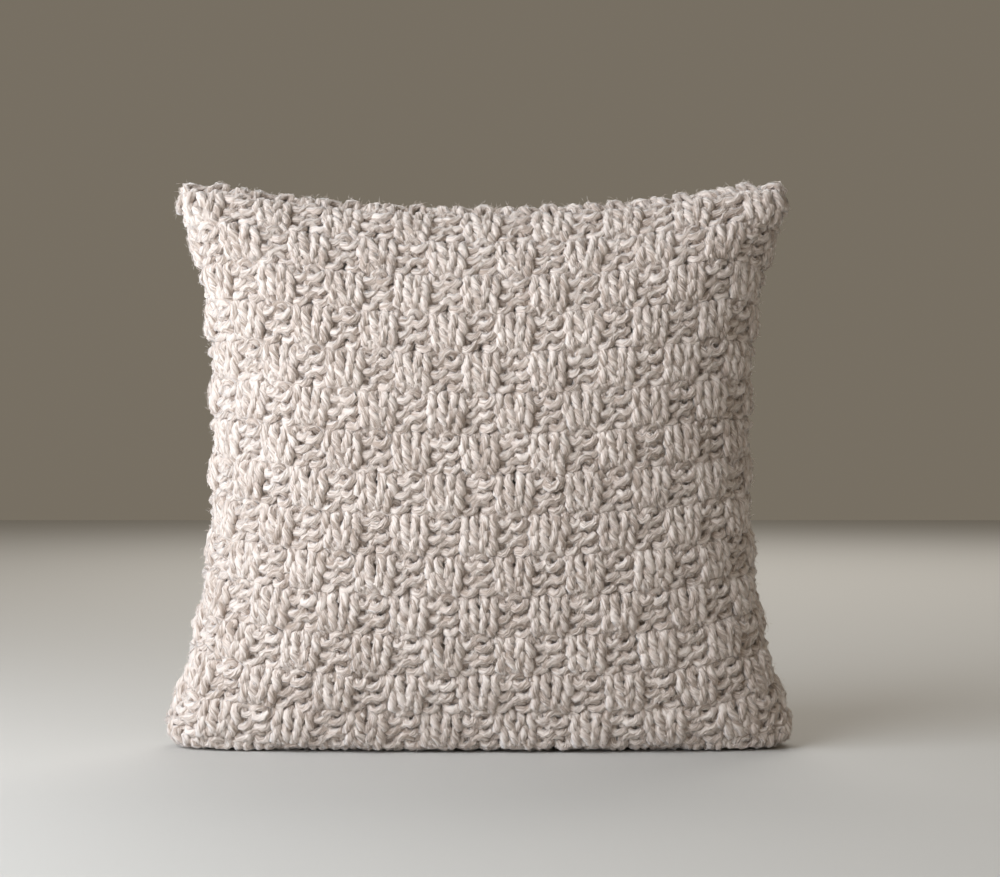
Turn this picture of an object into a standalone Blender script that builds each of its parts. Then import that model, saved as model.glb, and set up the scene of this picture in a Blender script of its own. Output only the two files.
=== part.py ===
"""A square throw cushion that stands on its lower edge: a knitted cover with a zip in the lower seam, round a fibre-filled pad.

Metres, +Z up. The front faces -Y, the width runs along X, and the origin is the middle of the base.
Every skin of the cushion is the same form, drawn smaller by an inset, so one function gives them all.
"""

import math

import bmesh
import bpy
from mathutils import Vector

# The cushion's outside
BOTTOM_WIDTH = 0.450
TOP_WIDTH = 0.438
HEIGHT = 0.405
DEPTH = 0.150
SIDE_PULL_IN = 0.028
SIDE_PULL_POWER = 2.7
TOP_PULL_IN = 0.021
TOP_PULL_POWER = 2.2
CORNER_RADIUS = 0.018
WIDEST_HEIGHT = 0.155
BASE_SHARE = 0.50  # the base's depth as a share of the full depth
CROWN_POWER = 2.6

# The layers, as insets from the outside
COVER_THICKNESS = 0.009
CASING_INSET = 0.0108
CASING_THICKNESS = 0.0012
FILLING_INSET = 0.0126
PAD_LIFT = 0.0145  # the underside of the pad, above the zip

# The slots between the front and back halves, as half widths
SEAM_SLOT = 0.0022
ZIP_SLOT = 0.0062
PAD_SLOT = 0.0009
ZIP_SLOT_COLUMN = 8  # the column, counted from the middle, where the zip's slot ends

# How finely the skins are drawn
COVER_COLUMNS = 24
PAD_COLUMNS = 24
BASE_STEPS = 2
COVER_RISE_STEPS = 18
PAD_RISE_STEPS = 18

# The yarn and the threads
SEAM_YARN_RADIUS = 0.0016
SEAM_YARN_INSET = 0.0040
SEAM_YARN_START = 0.935  # the share of the base's half width where the side yarns begin
PAD_THREAD_RADIUS = 0.0005
PAD_THREAD_INSET = 0.0115
SEWING_THREAD_RADIUS = 0.00025
YARN_POINTS = 22

# The zip
ZIP_HALF_LENGTH = 0.1650
TAPE_HALF_LENGTH = 0.1760
TAPE_EDGE = 0.0036
TAPE_WIDTH = 0.0120
TAPE_THICKNESS = 0.0007
ZIP_HEIGHT = 0.00975  # the middle of the tapes
TOOTH_INNER = 0.0007
TOOTH_OUTER = 0.0033
TOOTH_ROOT = 0.0020
TOOTH_HEIGHT = 0.0028
TOOTH_PITCH = 0.0055
STOP_LENGTH = 0.0025
STOP_GAP = 0.0010
SEWING_LINE = 0.0110

# The slider and its pull
SLIDER_CLOSED_X = -0.1580
SLIDER_LENGTH = 0.0110
SLIDER_HALF_WIDTH = 0.0048
SLIDER_FLANGE = 0.0008
SLIDER_PLATE = 0.0012
SLIDER_POST = 0.00035
SLIDER_MOUTH = 0.00205  # from the middle of the tapes to a plate
FLANGE_CLEARANCE = 0.00085
BRIDGE_DROP = 0.0011  # from the lower plate to the pull's pin
BRIDGE_INNER = 0.0010
BRIDGE_OUTER = 0.0022
BRIDGE_HALF_WIDTH = 0.0010
PULL_THICKNESS = 0.0013
PULL_HALF_WIDTH = 0.0029
PULL_LENGTH = 0.0220
PULL_WINDOW = 0.0028
PULL_WINDOW_HALF_WIDTH = 0.00135

# The label
LABEL_START = (0.060, 0.0180, 0.0104)
LABEL_SIZE = (0.040, 0.0100, 0.0004)

# Colours as linear RGB, with roughness and metallic
OATMEAL_WOOL = ((0.56, 0.48, 0.42, 1.0), 0.95, 0.0)
SEAM_WOOL = ((0.52, 0.44, 0.38, 1.0), 0.95, 0.0)
ZIP_TAPE = ((0.50, 0.43, 0.37, 1.0), 0.85, 0.0)
ZIP_NYLON = ((0.55, 0.48, 0.42, 1.0), 0.45, 0.0)
ZIP_METAL = ((0.48, 0.46, 0.42, 1.0), 0.32, 1.0)
SEWING_THREAD = ((0.60, 0.54, 0.47, 1.0), 0.70, 0.0)
PAD_COTTON = ((0.80, 0.78, 0.74, 1.0), 0.90, 0.0)
FIBRE_FILL = ((0.86, 0.86, 0.85, 1.0), 1.00, 0.0)
LABEL_SATIN = ((0.85, 0.85, 0.83, 1.0), 0.50, 0.0)


def clear_scene():
    for old in list(bpy.data.objects):
        bpy.data.objects.remove(old, do_unlink=True)


def material(name, finish):
    colour, roughness, metallic = finish
    made = bpy.data.materials.new(name)
    made.use_nodes = True
    shader = made.node_tree.nodes["Principled BSDF"]
    shader.inputs["Base Color"].default_value = colour
    shader.inputs["Roughness"].default_value = roughness
    shader.inputs["Metallic"].default_value = metallic
    made.diffuse_color = colour
    return made


def place(name, data, finish, location=(0.0, 0.0, 0.0)):
    """Puts a mesh or a curve in the scene as the piece of this name."""
    piece = bpy.data.objects.new(name, data)
    piece.location = location
    data.materials.append(material(name, finish))
    bpy.context.scene.collection.objects.link(piece)
    return piece


def mesh_from(name, bm, smooth=True):
    bmesh.ops.recalc_face_normals(bm, faces=bm.faces)
    if bm.calc_volume(signed=True) < 0:
        bmesh.ops.reverse_faces(bm, faces=bm.faces)
    mesh = bpy.data.meshes.new(name)
    bm.to_mesh(mesh)
    bm.free()
    if smooth:
        mesh.shade_smooth()
        mesh.set_sharp_from_angle(angle=math.radians(40))
    return mesh


def crown(s):
    """The share of the full depth at s, which runs from -1 to 1 across the width."""
    return math.sqrt(max(0.0, 1.0 - abs(s) ** CROWN_POWER))


def half_width(z):
    """The outline's half width at a height, pulled in between the corners, with the corners rounded."""
    straight = 0.5 * (BOTTOM_WIDTH + (TOP_WIDTH - BOTTOM_WIDTH) * z / HEIGHT)
    between_corners = (z - HEIGHT / 2) / (HEIGHT / 2 - CORNER_RADIUS)
    pulled = SIDE_PULL_IN * (1.0 - min(1.0, abs(between_corners) ** SIDE_PULL_POWER))
    into_corner = max(0.0, CORNER_RADIUS - min(z, HEIGHT - z))
    rounding = CORNER_RADIUS - math.sqrt(CORNER_RADIUS**2 - into_corner**2)
    return straight - pulled - rounding


def top_height(s):
    return HEIGHT - TOP_PULL_IN * (1.0 - abs(s) ** TOP_PULL_POWER)


def fullness(s, reach):
    """The share of the full depth at s, with reach the share that its height allows: full into the corners."""
    if min(crown(s), reach) < 1e-6:
        return 0.0
    return (crown(s) ** -2 + reach**-2 - 1.0) ** -0.5


def skin_point(s, step, rise_steps, inset, lift, slot):
    """A point of the back half of a skin: step 0 is the lower rim, and the last step is the upper rim."""
    below = WIDEST_HEIGHT / math.sqrt(1.0 - BASE_SHARE**2) - inset
    lowest = -math.asin((WIDEST_HEIGHT - lift) / below)
    if step < BASE_STEPS:
        z = lift
        reach = math.cos(lowest) * step / BASE_STEPS
    else:
        angle = lowest + (math.pi / 2 - lowest) * (step - BASE_STEPS) / rise_steps
        span = below if angle < 0 else top_height(s) - inset - WIDEST_HEIGHT
        z = WIDEST_HEIGHT + span * math.sin(angle)
        reach = math.cos(angle)
    y = slot + (DEPTH / 2 - inset - slot) * fullness(s, reach)
    x = s * (half_width(z) - inset)
    return Vector((x, y, z))


def across(column, columns):
    """s at a column, with the columns closer together towards the sides."""
    return math.sin((2.0 * column / columns - 1.0) * math.pi / 2)


def cover_slot(column):
    """The lower rim's distance from the middle plane, wider along the zip."""
    return ZIP_SLOT if abs(column - COVER_COLUMNS // 2) <= ZIP_SLOT_COLUMN else SEAM_SLOT


def skin_grid(bm, side, columns, rise_steps, inset, lift, slot, lower_slot=None):
    """Adds a skin's vertices, as rows of columns from the lower rim to the upper one."""
    rows = []
    for step in range(BASE_STEPS + rise_steps + 1):
        row = []
        for column in range(columns + 1):
            gap = lower_slot(column) if lower_slot and step == 0 else slot
            s = across(column, columns)
            point = skin_point(s, step, rise_steps, inset, lift, gap)
            if column in (0, columns):
                point.y = gap
            row.append(bm.verts.new((point.x, side * point.y, point.z)))
        rows.append(row)
    return rows


def fill_grid(bm, rows):
    for low, high in zip(rows, rows[1:]):
        for k in range(len(low) - 1):
            bm.faces.new((low[k], low[k + 1], high[k + 1], high[k]))


def rim_of(rows):
    """The grid's border as one closed loop of vertices."""
    right = [row[-1] for row in rows[1:]]
    top = rows[-1][-2::-1]
    left = [row[0] for row in rows[-2:0:-1]]
    return rows[0] + right + top + left


def shell(side, columns, rise_steps, outer, inner, slot, lower_slot=None):
    """One half of a hollow skin, between an outer and an inner (inset, lift), closed along its rim."""
    bm = bmesh.new()
    outside = skin_grid(bm, side, columns, rise_steps, *outer, slot, lower_slot)
    inside = skin_grid(bm, side, columns, rise_steps, *inner, slot, lower_slot)
    fill_grid(bm, outside)
    fill_grid(bm, inside)
    rim_out = rim_of(outside)
    rim_in = rim_of(inside)
    for k in range(len(rim_out)):
        bm.faces.new((rim_out[k - 1], rim_out[k], rim_in[k], rim_in[k - 1]))
    return bm


def make_cover(name, side):
    outer = (0.0, 0.0)
    inner = (COVER_THICKNESS, COVER_THICKNESS)
    bm = shell(side, COVER_COLUMNS, COVER_RISE_STEPS, outer, inner, SEAM_SLOT, cover_slot)
    place(name, mesh_from(name, bm), OATMEAL_WOOL)


def make_casing(name, side):
    outer = (CASING_INSET, PAD_LIFT)
    inner = (CASING_INSET + CASING_THICKNESS, PAD_LIFT + CASING_THICKNESS)
    bm = shell(side, PAD_COLUMNS, PAD_RISE_STEPS, outer, inner, PAD_SLOT)
    place(name, mesh_from(name, bm), PAD_COTTON)


def make_filling():
    """The fibre core: a front and a back skin that meet all round."""
    bm = bmesh.new()
    lift = PAD_LIFT + FILLING_INSET - CASING_INSET
    for side in (-1, 1):
        fill_grid(bm, skin_grid(bm, side, PAD_COLUMNS, PAD_RISE_STEPS, FILLING_INSET, lift, 0.0))
    bmesh.ops.remove_doubles(bm, verts=bm.verts, dist=1e-6)
    place("pad_filling", mesh_from("pad_filling", bm), FIBRE_FILL)


def tube(name, points, radius, finish, cyclic=False):
    """A yarn or a thread along its points, with filled ends unless it is a ring."""
    curve = bpy.data.curves.new(name, "CURVE")
    curve.dimensions = "3D"
    curve.bevel_depth = radius
    curve.bevel_resolution = 1
    curve.use_fill_caps = not cyclic
    line = curve.splines.new("POLY")
    line.points.add(len(points) - 1)
    for spot, point in zip(line.points, points):
        spot.co = (*point, 1.0)
    line.use_cyclic_u = cyclic
    return place(name, curve, finish)


def side_line(side, inset, low, high):
    """Points up one side of the outline, closer together at both corners."""
    points = []
    for k in range(YARN_POINTS):
        share = 0.5 - 0.5 * math.cos(math.pi * k / (YARN_POINTS - 1))
        z = low + (high - low) * share
        points.append(Vector((side * (half_width(z) - inset), 0.0, z)))
    return points


def top_line(inset, reach):
    """Points along the top of the outline, from one side to the other."""
    points = []
    for k in range(YARN_POINTS):
        s = reach * (2.0 * k / (YARN_POINTS - 1) - 1.0)
        z = top_height(s) - inset
        points.append(Vector((s * (half_width(z) - inset), 0.0, z)))
    return points


def make_side_yarn(name, side):
    """The yarn that joins a side, from the zip's end round the lower corner to the upper corner."""
    low = SEAM_YARN_INSET
    start = Vector((side * SEAM_YARN_START * (half_width(low) - SEAM_YARN_INSET), 0.0, low))
    line = side_line(side, SEAM_YARN_INSET, low, HEIGHT - CORNER_RADIUS / 2)
    tube(name, [start] + line, SEAM_YARN_RADIUS, SEAM_WOOL)


def make_pad_thread():
    """The thread round the pad's edge, one ring in the slot between the two casings."""
    low = PAD_LIFT + PAD_THREAD_INSET - CASING_INSET
    high = HEIGHT - PAD_THREAD_INSET
    right = side_line(1, PAD_THREAD_INSET, low, high)
    left = side_line(-1, PAD_THREAD_INSET, low, high)
    top = top_line(PAD_THREAD_INSET, 1.0)
    ring = right + top[-2:0:-1] + left[::-1]
    tube("pad_edge_thread", ring, PAD_THREAD_RADIUS, SEWING_THREAD, cyclic=True)


def block(name, low, high, finish, location=(0.0, 0.0, 0.0)):
    bm = bmesh.new()
    bmesh.ops.create_cube(bm, size=1.0)
    for vert in bm.verts:
        for axis in range(3):
            vert.co[axis] = low[axis] if vert.co[axis] < 0 else high[axis]
    return place(name, mesh_from(name, bm, smooth=False), finish, location)


def extrude_outline(outline, direction):
    """A closed solid: a flat outline of points, swept along a direction."""
    bm = bmesh.new()
    face = bm.faces.new([bm.verts.new(point) for point in outline])
    swept = bmesh.ops.extrude_face_region(bm, geom=[face])["geom"]
    moved = [item for item in swept if isinstance(item, bmesh.types.BMVert)]
    bmesh.ops.translate(bm, verts=moved, vec=direction)
    return bm


def make_tape(name, side):
    near = side * TAPE_EDGE
    far = side * (TAPE_EDGE + TAPE_WIDTH)
    low = (-TAPE_HALF_LENGTH, min(near, far), ZIP_HEIGHT - TAPE_THICKNESS / 2)
    high = (TAPE_HALF_LENGTH, max(near, far), ZIP_HEIGHT + TAPE_THICKNESS / 2)
    block(name, low, high, ZIP_TAPE)


def make_teeth(name, side):
    """A row of teeth on its cord, as one bar with a tooth and a gap at each pitch."""
    count = int(2 * ZIP_HALF_LENGTH / TOOTH_PITCH)
    start = -count * TOOTH_PITCH / 2
    z = ZIP_HEIGHT - TOOTH_HEIGHT / 2
    outline = [(start, side * TOOTH_OUTER, z)]
    for k in range(count):
        left = start + k * TOOTH_PITCH
        middle = left + TOOTH_PITCH / 2
        right = left + TOOTH_PITCH
        outline.append((left, side * TOOTH_INNER, z))
        outline.append((middle, side * TOOTH_INNER, z))
        outline.append((middle, side * TOOTH_ROOT, z))
        outline.append((right, side * TOOTH_ROOT, z))
    outline.append((start + count * TOOTH_PITCH, side * TOOTH_OUTER, z))
    bm = extrude_outline(outline, (0.0, 0.0, TOOTH_HEIGHT))
    place(name, mesh_from(name, bm, smooth=False), ZIP_NYLON)


def make_top_stop(name, side):
    near = side * TOOTH_INNER
    far = side * TOOTH_OUTER
    right = -ZIP_HALF_LENGTH - STOP_GAP
    low = (right - STOP_LENGTH, min(near, far), ZIP_HEIGHT - TOOTH_HEIGHT / 2)
    high = (right, max(near, far), ZIP_HEIGHT + TOOTH_HEIGHT / 2)
    block(name, low, high, ZIP_METAL)


def make_bottom_stop():
    left = ZIP_HALF_LENGTH + STOP_GAP
    low = (left, -TOOTH_OUTER, ZIP_HEIGHT - TOOTH_HEIGHT / 2)
    high = (left + STOP_LENGTH, TOOTH_OUTER, ZIP_HEIGHT + TOOTH_HEIGHT / 2)
    block("zip_bottom_stop", low, high, ZIP_METAL)


def make_sewing_thread(name, side):
    z = ZIP_HEIGHT + TAPE_THICKNESS / 2 + 0.0003 + SEWING_THREAD_RADIUS
    y = side * SEWING_LINE
    ends = [(-TAPE_HALF_LENGTH, y, z), (0.0, y, z), (TAPE_HALF_LENGTH, y, z)]
    tube(name, ends, SEWING_THREAD_RADIUS, SEWING_THREAD)


def slider_section():
    """The slider's section in Y and Z about the tapes' middle: two plates with flanges, joined by the post."""
    wide = SLIDER_HALF_WIDTH
    inner = wide - SLIDER_FLANGE
    plate = SLIDER_MOUTH + SLIDER_PLATE
    upper = [
        (SLIDER_POST, 0.0),
        (SLIDER_POST, SLIDER_MOUTH),
        (inner, SLIDER_MOUTH),
        (inner, FLANGE_CLEARANCE),
        (wide, FLANGE_CLEARANCE),
        (wide, plate),
    ]
    upper_left = [(-y, z) for y, z in reversed(upper)]
    lower_left = [(-y, -z) for y, z in upper[1:]]
    lower_right = [(y, -z) for y, z in reversed(upper[1:])]
    return upper[1:] + upper_left[:-1] + lower_left + lower_right


def bridge_outline(pin_z, plate_z):
    """The bridge's outline in X and Z: an arch round the pull's pin, with legs up into the plate."""
    turns = [math.pi * k / 8 for k in range(9)]
    outer = [(BRIDGE_OUTER * math.cos(a), pin_z - BRIDGE_OUTER * math.sin(a)) for a in turns]
    inner = [(BRIDGE_INNER * math.cos(a), pin_z - BRIDGE_INNER * math.sin(a)) for a in turns]
    root = plate_z + SLIDER_PLATE / 2
    start = [(BRIDGE_OUTER, root)]
    across_root = [(-BRIDGE_OUTER, root), (-BRIDGE_INNER, root)]
    return start + outer + across_root + inner[::-1] + [(BRIDGE_INNER, root)]


def pin_height():
    return ZIP_HEIGHT - SLIDER_MOUTH - SLIDER_PLATE - BRIDGE_DROP


def make_slider():
    """The slider, drawn about the point on the tapes' middle where it stands when the zip is closed."""
    half = SLIDER_LENGTH / 2
    section = [(-half, y, z) for y, z in slider_section()]
    body = extrude_outline(section, (SLIDER_LENGTH, 0.0, 0.0))
    location = (SLIDER_CLOSED_X, 0.0, ZIP_HEIGHT)
    slider = place("zip_slider", mesh_from("zip_slider", body, smooth=False), ZIP_METAL, location)

    plate_z = -SLIDER_MOUTH - SLIDER_PLATE
    arch = [(x, -BRIDGE_HALF_WIDTH, z) for x, z in bridge_outline(plate_z - BRIDGE_DROP, plate_z)]
    bridge_bm = extrude_outline(arch, (0.0, 2 * BRIDGE_HALF_WIDTH, 0.0))
    bridge_mesh = mesh_from("bridge_guide", bridge_bm, smooth=False)
    bridge = place("bridge_guide", bridge_mesh, ZIP_METAL, location)
    bridge.hide_render = True
    bridge.display_type = "WIRE"

    union = slider.modifiers.new("bridge", "BOOLEAN")
    union.operation = "UNION"
    union.solver = "EXACT"
    union.object = bridge


def make_pull():
    """The pull tab, with its origin on the pin: a bar under the bridge, a window round it, and a flat grip."""
    half = PULL_THICKNESS / 2
    rounded = [math.radians(-90 + 22.5 * k) for k in range(9)]
    tip = PULL_LENGTH - PULL_HALF_WIDTH
    nose = [(tip + PULL_HALF_WIDTH * math.cos(a), PULL_HALF_WIDTH * math.sin(a)) for a in rounded]
    outline = [(-half, -PULL_HALF_WIDTH)] + nose + [(-half, PULL_HALF_WIDTH)]
    bm = extrude_outline([(x, y, -half) for x, y in outline], (0.0, 0.0, PULL_THICKNESS))
    location = (SLIDER_CLOSED_X, 0.0, pin_height())
    pull = place("zip_pull_tab", mesh_from("zip_pull_tab", bm, smooth=False), ZIP_METAL, location)

    low = (half, -PULL_WINDOW_HALF_WIDTH, -PULL_THICKNESS)
    high = (PULL_WINDOW, PULL_WINDOW_HALF_WIDTH, PULL_THICKNESS)
    window = block("window_guide", low, high, ZIP_METAL, location)
    window.hide_render = True
    window.display_type = "WIRE"
    cut = pull.modifiers.new("window", "BOOLEAN")
    cut.operation = "DIFFERENCE"
    cut.solver = "EXACT"
    cut.object = window


def make_label():
    high = tuple(start + size for start, size in zip(LABEL_START, LABEL_SIZE))
    block("care_label", LABEL_START, high, LABEL_SATIN)


def make_cushion():
    clear_scene()
    for half_name, side in (("front", -1), ("back", 1)):
        make_cover("cover_" + half_name + "_panel", side)
        make_casing("pad_casing_" + half_name, side)
        make_tape("zip_tape_" + half_name, side)
        make_teeth("zip_teeth_" + half_name, side)
        make_top_stop("zip_top_stop_" + half_name, side)
        make_sewing_thread("zip_thread_" + half_name, side)
    make_side_yarn("left_seam_yarn", -1)
    make_side_yarn("right_seam_yarn", 1)
    tube("top_seam_yarn", top_line(SEAM_YARN_INSET, 0.97), SEAM_YARN_RADIUS, SEAM_WOOL)
    make_filling()
    make_pad_thread()
    make_bottom_stop()
    make_slider()
    make_pull()
    make_label()


make_cushion()
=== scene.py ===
"""Dresses a knitted throw cushion.

A basketweave cover is made stitch by stitch round a stuffed pad, with a zip in its lower seam.
"""

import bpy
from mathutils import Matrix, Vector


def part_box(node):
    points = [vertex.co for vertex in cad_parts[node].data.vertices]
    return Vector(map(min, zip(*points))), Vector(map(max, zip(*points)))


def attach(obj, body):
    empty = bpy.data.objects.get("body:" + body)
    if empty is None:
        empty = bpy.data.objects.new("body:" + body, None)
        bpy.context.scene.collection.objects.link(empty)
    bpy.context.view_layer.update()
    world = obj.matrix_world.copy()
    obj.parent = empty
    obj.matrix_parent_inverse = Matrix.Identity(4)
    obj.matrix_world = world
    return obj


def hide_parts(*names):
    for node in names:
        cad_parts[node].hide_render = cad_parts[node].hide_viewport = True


bl_info = {
    "name": "Knitted Throw Cushion",
    "version": (1, 0, 0),
    "blender": (4, 5, 0),
    "location": "View3D > Sidebar > Cushion",
    "description": "Knits a basketweave cushion cover round a stuffed pad, and fits its zip",
    "category": "Object",
}

import math

import bpy
import numpy as np
from bpy.props import FloatProperty, FloatVectorProperty, IntProperty, PointerProperty
from mathutils import Vector

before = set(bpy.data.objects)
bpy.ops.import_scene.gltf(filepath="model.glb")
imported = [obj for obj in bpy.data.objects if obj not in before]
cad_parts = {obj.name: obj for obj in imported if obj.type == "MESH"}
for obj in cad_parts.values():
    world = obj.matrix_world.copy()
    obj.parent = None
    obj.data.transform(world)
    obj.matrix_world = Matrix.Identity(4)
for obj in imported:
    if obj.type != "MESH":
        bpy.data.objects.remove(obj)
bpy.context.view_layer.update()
COVER_LOW, COVER_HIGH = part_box("cover_front_panel")
WIDTH = COVER_HIGH.x - COVER_LOW.x
HEIGHT = COVER_HIGH.z
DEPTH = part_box("cover_back_panel")[1].y - COVER_LOW.y

# The form, as in the design
TOP_WIDTH_SHARE = 0.973
SIDE_PULL_IN = 0.028
SIDE_PULL_POWER = 2.7
SIDE_EASE = 0.0020
TOP_PULL_IN = 0.021
TOP_PULL_POWER = 2.2
CORNER_RADIUS = 0.018
WIDEST_HEIGHT = 0.155
CORNER_DROP = 0.0045
NECK_FULL = 0.0030
NECK_HEIGHT = 0.372
NECK_REACH = 0.020
TUCK_START = 0.012
TUCK_REACH = 0.014
DROP_START = 0.86
DROP_REACH = 0.14
BASE_SHARE = 0.50
SIDE_LEAN = 0.003
CROWN_POWER = 2.6

# The stuffed form's grid, and how it is swollen
FORM_COLUMNS = 56
FORM_ROWS = 64
DENSE = 161
SWELL_FRAMES = 20
SWELL_CAP = 0.012
SWELL_START = 0.009
DEPTH_ROOM = 0.003

# The knit's repeat
BLOCK_STITCHES = 2
BLOCK_ROWS = 3
FIRST_BLOCK_ROW = 2
STEPS_PER_STITCH = 16
YARN_SIDES = 9
LEG_START = 0.33
BUMP_HOLD = 0.12
LEG_ARCH = 0.0011
LEAN = 0.04
ROW_END = 0.07
SLACK_LEAN = 0.22
SLACK_LEG = 0.16
SLACK_RISE = 0.12
SLACK_STAND = 0.0010
PLIES = 3
PLY_TWIST = 32.0
PLY_DEPTH = 0.07
YARN_SQUASH = 0.86
TILT = 0.08
BLOCK_SPREAD = 0.16
LEG_PUFF = 0.12
TOP_MARGIN = 0.60
ZIP_MARGIN = 1.15
CLOSED_MARGIN = 0.60
SIDE_MARGIN = 0.10
ZIP_END = 0.179
ZIP_END_SHIFT = 0.0045
ZIP_END_REACH = 0.014
BASE_HEIGHT = 0.03
BASE_FLATTENING = 0.45

# How the tubes lie in their maps
STRIP_SHIFT = 0.37
STRIP_GAP = 0.08
STRIP_FILL = 0.84
LENGTH_ROOM = 1.002

# The seams' wool, with where it starts and ends as shares of each seam
SIDE_SEAM = (0.004, 0.968)
TOP_SEAM = (0.014, 0.986)
SEAM_PITCH = 0.0094
SEAM_WIDTH = 0.0030
SEAM_RISE = -0.0006
SEAM_YARN_RADIUS = 0.0019
SEAM_TWIST = 60.0

# The fibres
LYING_RADIUS = 0.00017
FLOOR_CLEARANCE = 0.0006
FIBRE_SPREAD = 0.9
ROOT_DEPTH = 0.9
LYING_LIFT = (0.99, 1.06, 0.99)
PALEST_FIBRE = (0.90, 0.82, 0.76, 1.0)

# The pad, measured in from the middle of the knit
CASING_OUTSIDE = 0.0058
CASING_INSIDE = 0.0066
CASING_THICKNESS = 0.0008
CASING_APART = 0.0009
CASING_LUMPS = 0.0006
FILLING_INSET = 0.0078
FILLING_LIFT = 0.002
FILLING_LUMPS = 0.0010
WELD_DISTANCE = 0.0015
EDGE_INSET = 0.0064
EDGE_SWING = 0.0004
EDGE_STEPS = 900
EDGE_RADIUS = 0.0005

# The light all round the stage, and the first of the random seeds
SURROUND = (0.185, 0.160, 0.124, 1.0)
SEED = 7


class CushionForm(bpy.types.PropertyGroup):
    pressure: FloatProperty(
        name="Pressure", description="How hard the filling pushes the cover out", default=8.0, min=0.0
    )
    knit_inset: FloatProperty(
        name="Knit inset", description="From the cover's outside to the middle of the knit",
        default=0.0050, unit="LENGTH"
    )
    base_lift: FloatProperty(
        name="Base lift", description="From the floor to the middle of the knit underneath",
        default=0.0062, unit="LENGTH"
    )


class CushionKnit(bpy.types.PropertyGroup):
    stitches: IntProperty(name="Stitches", description="Stitches across a panel", default=36, min=4)
    rows: IntProperty(name="Rows", description="Rows up a panel", default=45, min=4)
    yarn_radius: FloatProperty(
        name="Yarn radius", description="Half the thickness of the yarn", default=0.0032, unit="LENGTH"
    )
    loop_width: FloatProperty(
        name="Loop width", description="How far each loop bulges sideways, in stitches", default=0.24
    )
    loop_reach: FloatProperty(
        name="Loop reach", description="Half the height of each loop, in rows", default=0.91
    )
    loop_depth: FloatProperty(
        name="Loop depth", description="How far the yarn passes in front and behind", default=0.0028,
        unit="LENGTH"
    )
    block_lift: FloatProperty(
        name="Block lift", description="How far the knit blocks stand above the purl blocks",
        default=0.0012, unit="LENGTH"
    )
    unevenness: FloatProperty(
        name="Unevenness", description="How much the hand-made stitches vary", default=1.3, min=0.0
    )


class CushionYarnFinish(bpy.types.PropertyGroup):
    pale: FloatVectorProperty(
        name="Pale fibre", description="The lightest fibres of the yarn", subtype="COLOR", size=4,
        default=(0.81, 0.715, 0.645, 1.0), min=0.0, max=1.0
    )
    middle: FloatVectorProperty(
        name="Oatmeal fibre", description="The main colour of the yarn", subtype="COLOR", size=4,
        default=(0.66, 0.555, 0.487, 1.0), min=0.0, max=1.0
    )
    dark: FloatVectorProperty(
        name="Dark fibre", description="The darkest fibres of the yarn", subtype="COLOR", size=4,
        default=(0.42, 0.33, 0.27, 1.0), min=0.0, max=1.0
    )
    long_fibres: IntProperty(
        name="Long fibres", description="Long loose fibres on a panel", default=30000, min=1
    )
    lying_fibres: IntProperty(
        name="Lying fibres", description="Fibres lying on a panel's yarn", default=33000, min=1
    )
    fibre_length: FloatProperty(
        name="Fibre length", description="How long the long loose fibres are", default=0.0040, unit="LENGTH"
    )
    fibre_radius: FloatProperty(
        name="Fibre radius", description="Half the thickness of a loose fibre", default=0.00011,
        unit="LENGTH"
    )


class CushionStage(bpy.types.PropertyGroup):
    camera_distance: FloatProperty(
        name="Camera distance", description="From the camera to the middle of the cushion", default=1.45,
        unit="LENGTH"
    )
    camera_height: FloatProperty(
        name="Camera height", description="Above the surface that the cushion stands on", default=0.218,
        unit="LENGTH"
    )
    lens: FloatProperty(name="Lens", description="Focal length in millimetres", default=73.5)


# ---------------------------------------------------------------- numbers

def smooth(x):
    return x * x * (3.0 - 2.0 * x)


def unit(vectors):
    return vectors / np.maximum(np.linalg.norm(vectors, axis=-1, keepdims=True), 1e-12)


def resample(points, count):
    """Points spaced evenly along a line of points."""
    steps = np.linalg.norm(np.diff(points, axis=0), axis=1)
    along = np.concatenate([[0.0], np.cumsum(steps)])
    at = np.linspace(0.0, along[-1], count)
    return np.stack([np.interp(at, along, points[:, k]) for k in range(3)], axis=1)


# ---------------------------------------------------------------- the stuffed form

def half_width(z):
    """The outline's half width at heights z, pulled in between rounded corners."""
    top = WIDTH * TOP_WIDTH_SHARE
    straight = 0.5 * (WIDTH + (top - WIDTH) * z / HEIGHT)
    between = (z - HEIGHT / 2) / (HEIGHT / 2 - CORNER_RADIUS)
    pulled = SIDE_PULL_IN * (1.0 - np.minimum(1.0, np.abs(between) ** SIDE_PULL_POWER))
    into = np.clip(CORNER_RADIUS - np.minimum(z, HEIGHT - z), 0.0, CORNER_RADIUS)
    neck = NECK_FULL * np.exp(-(((z - NECK_HEIGHT) / NECK_REACH) ** 2))
    above_neck = np.clip((z - NECK_HEIGHT - TUCK_START) / TUCK_REACH, 0.0, 1.0)
    tucked = 0.5 * CORNER_DROP * smooth(above_neck)
    return straight - pulled + neck - tucked - (CORNER_RADIUS - np.sqrt(CORNER_RADIUS**2 - into**2))


def fullness(s, reach):
    """The share of the full depth at s, where its height allows the share reach."""
    crown = max(1e-6, 1.0 - abs(s) ** CROWN_POWER)
    return 1.0 / np.sqrt(1.0 / crown + np.maximum(reach, 1e-6) ** -2 - 1.0)


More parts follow.
